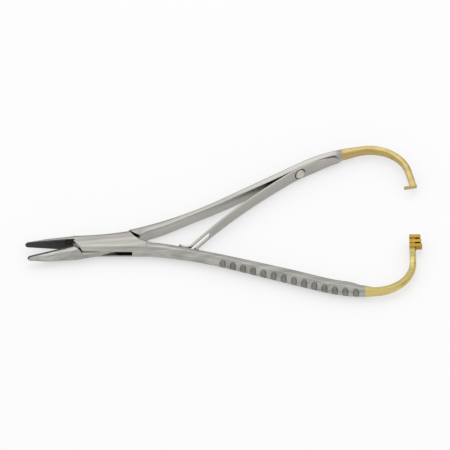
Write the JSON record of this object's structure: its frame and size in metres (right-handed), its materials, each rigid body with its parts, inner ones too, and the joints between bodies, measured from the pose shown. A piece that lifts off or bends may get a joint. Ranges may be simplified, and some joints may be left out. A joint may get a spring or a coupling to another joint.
{
  "type": "surgical needle holder",
  "caption": "Palm needle holder: two crossed steel halves on a box joint, carbide jaw inserts, leaf spring, grip flutes and a gold-plated hook and ratchet at the end.",
  "frame": {"origin": "pin axis of the box joint, on the lower face of the box", "axes": "+X from the pin towards the handles, +Y towards the upper handle, +Z along the pin, out of the upper face of the box"},
  "size_m": [0.1395, 0.0727, 0.0052],
  "materials": {
    "steel": "satin stainless steel, gold plated past the grip",
    "spring_steel": "satin stainless spring steel",
    "carbide": "dark tungsten carbide, fine cross-cut"
  },
  "bodies": {
    "female": {"female_half": "steel", "carbide_insert_upper": "carbide", "joint_rivet": "steel", "spring_guide_stud": "steel"},
    "male": {"male_half": "steel", "carbide_insert_lower": "carbide", "leaf_spring": "spring_steel", "spring_screw": "steel"}
  },
  "joints": [
    {"name": "box_joint", "type": "hinge", "parent": "female", "child": "male", "pos_m": [0, 0, 0.0026], "axis": [0, 0, 1], "range_deg": [-12.1, 0], "stiffness_Nm_per_rad": 1.5, "springref_deg": 2.86, "deforming": ["leaf_spring"]}
  ]
}
